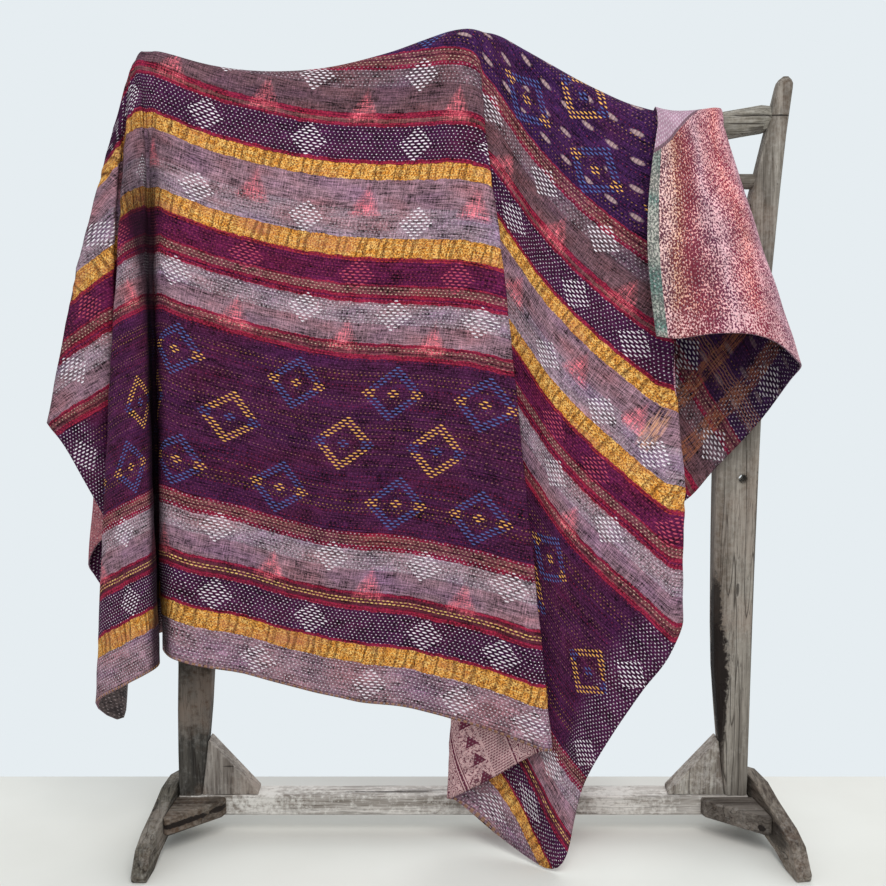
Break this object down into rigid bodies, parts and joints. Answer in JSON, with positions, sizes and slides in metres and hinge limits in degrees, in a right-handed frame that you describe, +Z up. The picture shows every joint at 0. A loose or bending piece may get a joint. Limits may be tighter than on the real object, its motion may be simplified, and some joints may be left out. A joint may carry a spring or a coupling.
{
  "type": "kantha quilt on a wooden stand",
  "caption": "Patchwork kantha quilt with running stitch and woven bands, thrown over a rustic wooden stand with horned posts, one corner folded back",
  "frame": {"origin": "on the floor, under the middle of the whole object's box", "axes": "+X to the right as seen from the front, +Y to the back, +Z up"},
  "size_m": [1.517, 0.5352, 1.6274],
  "materials": {
    "cloth": "matte",
    "wood": "matte",
    "dark_wood": "matte",
    "pale_wood": "matte"
  },
  "bodies": {
    "root": {"quilt": "cloth", "post_left": "dark_wood", "post_right": "wood", "crest_rail": "wood", "low_rail": "wood", "stretcher": "pale_wood", "foot_left": "dark_wood", "foot_right": "dark_wood", "gusset_left": "wood", "gusset_right": "wood", "corner_block_left": "dark_wood", "corner_block_right": "dark_wood"}
  },
  "joints": []
}
